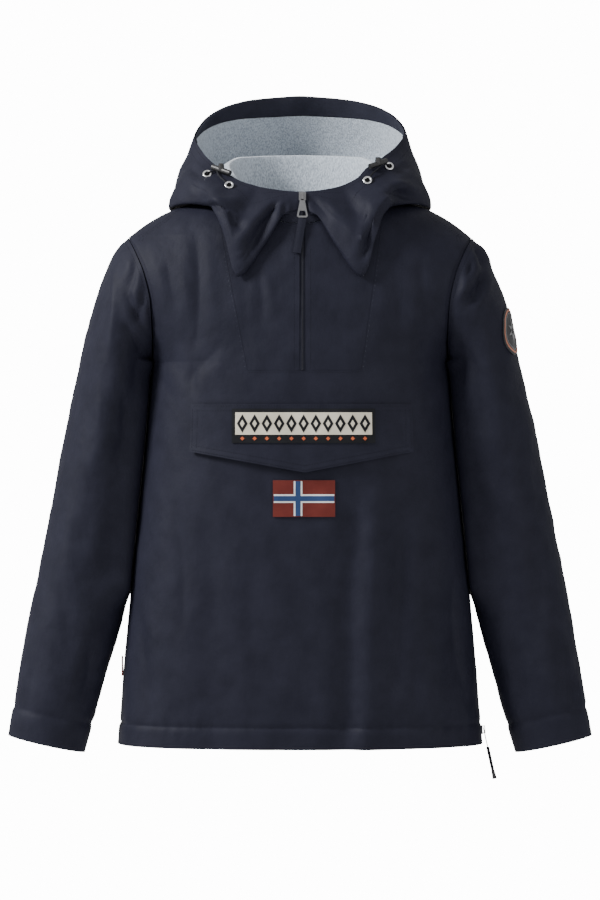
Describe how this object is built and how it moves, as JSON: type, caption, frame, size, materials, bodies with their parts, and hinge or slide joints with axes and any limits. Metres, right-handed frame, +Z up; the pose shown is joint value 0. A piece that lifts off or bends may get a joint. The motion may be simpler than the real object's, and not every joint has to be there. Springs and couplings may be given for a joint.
{
  "type": "anorak pullover",
  "caption": "Navy nylon pullover anorak with a half zip, a fleece-lined hood laid open, a pocket flap and a side zip.",
  "frame": {"origin": "between the wearer's shoulders at the level of the neck, where the garment hangs on the wearer", "axes": "+Z up along the wearer, +Y from the garment's front to its back, +X to the viewer's right"},
  "size_m": [0.755, 0.2947, 0.8999],
  "materials": {
    "nylon": "matte woven",
    "fleece": "brushed",
    "patch": "woven",
    "flag": "woven",
    "badge": "embroidered",
    "label": "woven",
    "zip_plastic": "matte",
    "metal": "satin",
    "lock_plastic": "matte",
    "elastic": "braided"
  },
  "bodies": {
    "garment": {"front": "nylon", "insert_left": "nylon", "insert_right": "nylon", "back": "nylon", "sleeve_right": "nylon", "sleeve_left": "nylon", "hood": "nylon", "hood_facing": "nylon", "pocket_flap": "nylon", "hood_lining": "fleece", "chest_patch": "patch", "flag_patch": "flag", "sleeve_badge": "badge", "side_label": "label", "zip_strip": "zip_plastic", "side_zip_strip": "zip_plastic", "zip_slider": "metal", "side_slider": "metal", "eyelet_left_outer": "metal", "eyelet_left_inner": "metal", "eyelet_right_outer": "metal", "eyelet_right_inner": "metal", "cord_lock_left": "lock_plastic", "cord_lock_right": "lock_plastic", "elastic_left_outer": "elastic", "elastic_left_inner": "elastic", "elastic_right_outer": "elastic", "elastic_right_inner": "elastic"},
    "front_tab": {"zip_tab": "metal", "zip_tag": "nylon"},
    "side_tab": {"side_tab": "metal", "side_pull_cord": "elastic", "side_pull_end": "lock_plastic"}
  },
  "joints": [
    {"name": "front_tab_swing", "type": "hinge", "parent": "garment", "child": "front_tab", "pos_m": [0.003, -0.10176, 0.01213], "axis": [-1, 0, 0], "range_deg": [0, 150]},
    {"name": "side_tab_swing", "type": "hinge", "parent": "garment", "child": "side_tab", "pos_m": [0.23846, 0, -0.67322], "axis": [0, -1, 0], "range_deg": [0, 32]}
  ]
}
